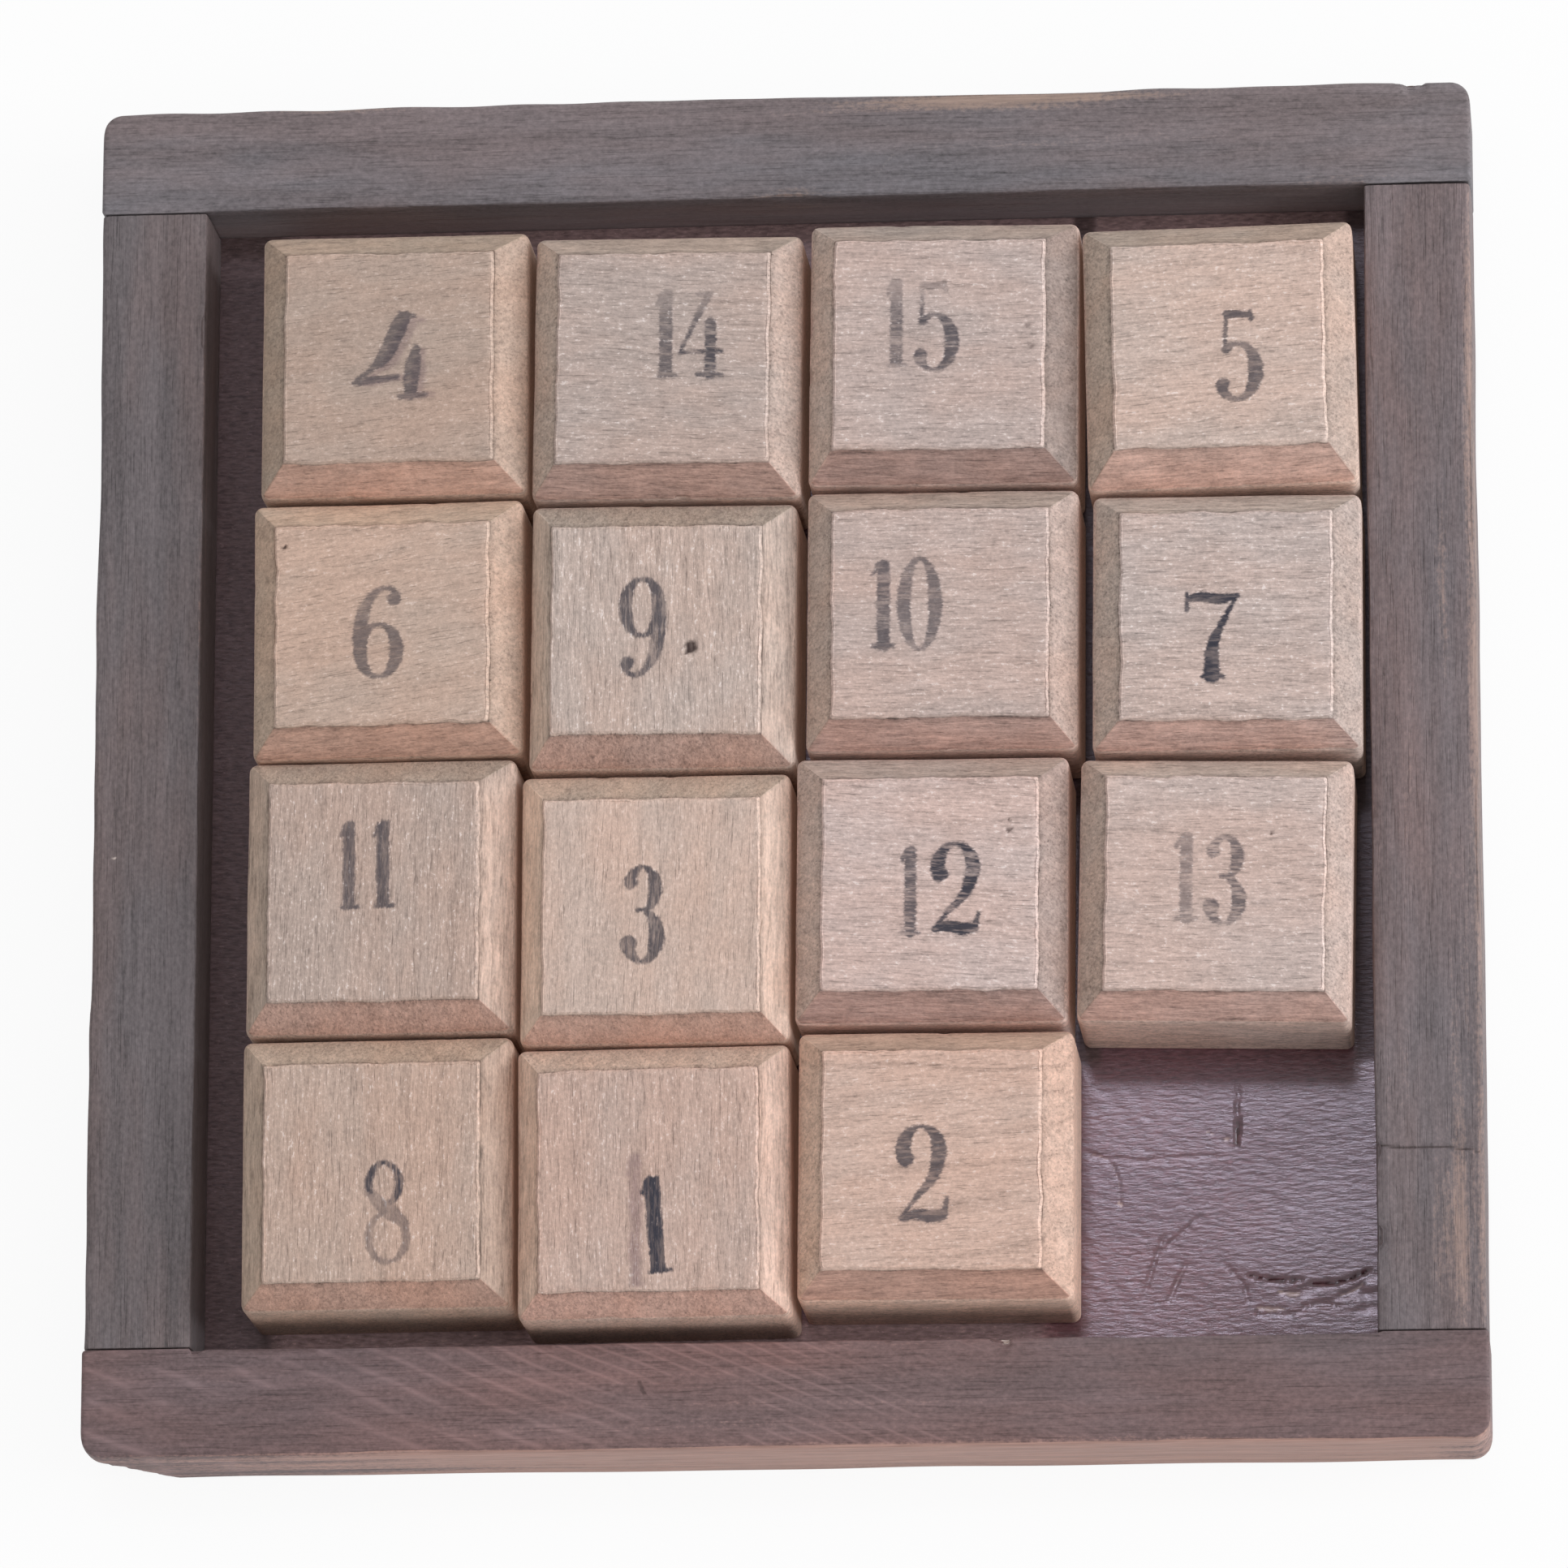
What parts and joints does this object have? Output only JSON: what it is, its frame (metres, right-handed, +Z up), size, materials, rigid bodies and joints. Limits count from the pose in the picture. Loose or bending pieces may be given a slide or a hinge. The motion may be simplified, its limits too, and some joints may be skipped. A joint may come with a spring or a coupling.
{
  "type": "wooden sliding puzzle",
  "caption": "Shallow open tray of butt-jointed stained wooden rails, holding loose bevelled square blocks stamped with numbers, and one empty place that they slide through.",
  "frame": {"origin": "under the middle of the tray, on the surface that it stands on", "axes": "+X to the right and +Y to the back as the numbers read, +Z up out of the open tray"},
  "size_m": [0.15, 0.15, 0.02],
  "materials": {
    "block_wood": "bare close-grained wood, handled smooth, greyish pink-tan with worn blue-black stamped numbers",
    "rail_wood": "dark stained wood, dull, with the stain worn to warm brown along the edges",
    "base_wood": "dark purple-brown stained board, satin, with scratches and shallow splits along the grain",
    "nail_iron": "plain iron wire nails, dull with brown rust"
  },
  "bodies": {
    "tray": {"base_board": "base_wood", "back_rail": "rail_wood", "front_rail": "rail_wood", "left_rail": "rail_wood", "right_rail": "rail_wood", "corner_nail_front_left_lower": "nail_iron", "corner_nail_front_left_upper": "nail_iron", "corner_nail_front_right_lower": "nail_iron", "corner_nail_front_right_upper": "nail_iron", "corner_nail_back_left_lower": "nail_iron", "corner_nail_back_left_upper": "nail_iron", "corner_nail_back_right_lower": "nail_iron", "corner_nail_back_right_upper": "nail_iron", "base_pin_front_first": "nail_iron", "base_pin_back_first": "nail_iron", "base_pin_left_first": "nail_iron", "base_pin_right_first": "nail_iron", "base_pin_front_middle": "nail_iron", "base_pin_back_middle": "nail_iron", "base_pin_left_middle": "nail_iron", "base_pin_right_middle": "nail_iron", "base_pin_front_last": "nail_iron", "base_pin_back_last": "nail_iron", "base_pin_left_last": "nail_iron", "base_pin_right_last": "nail_iron"},
    "block_01": {"block_01": "block_wood"},
    "block_02": {"block_02": "block_wood"},
    "block_03": {"block_03": "block_wood"},
    "block_04": {"block_04": "block_wood"},
    "block_05": {"block_05": "block_wood"},
    "block_06": {"block_06": "block_wood"},
    "block_07": {"block_07": "block_wood"},
    "block_08": {"block_08": "block_wood"},
    "block_09": {"block_09": "block_wood"},
    "block_10": {"block_10": "block_wood"},
    "block_11": {"block_11": "block_wood"},
    "block_12": {"block_12": "block_wood"},
    "block_13": {"block_13": "block_wood"},
    "block_14": {"block_14": "block_wood"},
    "block_15": {"block_15": "block_wood"}
  },
  "joints": [
    {"name": "block_02_slide", "type": "slide", "parent": "tray", "child": "block_02", "axis": [1, 0, 0], "range_m": [0, 0.0313]},
    {"name": "block_13_slide", "type": "slide", "parent": "tray", "child": "block_13", "axis": [0, 1, 0], "range_m": [-0.032, 0]},
    {"name": "block_01_lift", "type": "slide", "parent": "tray", "child": "block_01", "axis": [0, 0, 1], "range_m": [0, 0.02]},
    {"name": "block_03_lift", "type": "slide", "parent": "tray", "child": "block_03", "axis": [0, 0, 1], "range_m": [0, 0.02]},
    {"name": "block_04_lift", "type": "slide", "parent": "tray", "child": "block_04", "axis": [0, 0, 1], "range_m": [0, 0.02]},
    {"name": "block_05_lift", "type": "slide", "parent": "tray", "child": "block_05", "axis": [0, 0, 1], "range_m": [0, 0.02]},
    {"name": "block_06_lift", "type": "slide", "parent": "tray", "child": "block_06", "axis": [0, 0, 1], "range_m": [0, 0.02]},
    {"name": "block_07_lift", "type": "slide", "parent": "tray", "child": "block_07", "axis": [0, 0, 1], "range_m": [0, 0.02]},
    {"name": "block_08_lift", "type": "slide", "parent": "tray", "child": "block_08", "axis": [0, 0, 1], "range_m": [0, 0.02]},
    {"name": "block_09_lift", "type": "slide", "parent": "tray", "child": "block_09", "axis": [0, 0, 1], "range_m": [0, 0.02]},
    {"name": "block_10_lift", "type": "slide", "parent": "tray", "child": "block_10", "axis": [0, 0, 1], "range_m": [0, 0.02]},
    {"name": "block_11_lift", "type": "slide", "parent": "tray", "child": "block_11", "axis": [0, 0, 1], "range_m": [0, 0.02]},
    {"name": "block_12_lift", "type": "slide", "parent": "tray", "child": "block_12", "axis": [0, 0, 1], "range_m": [0, 0.02]},
    {"name": "block_14_lift", "type": "slide", "parent": "tray", "child": "block_14", "axis": [0, 0, 1], "range_m": [0, 0.02]},
    {"name": "block_15_lift", "type": "slide", "parent": "tray", "child": "block_15", "axis": [0, 0, 1], "range_m": [0, 0.02]}
  ]
}
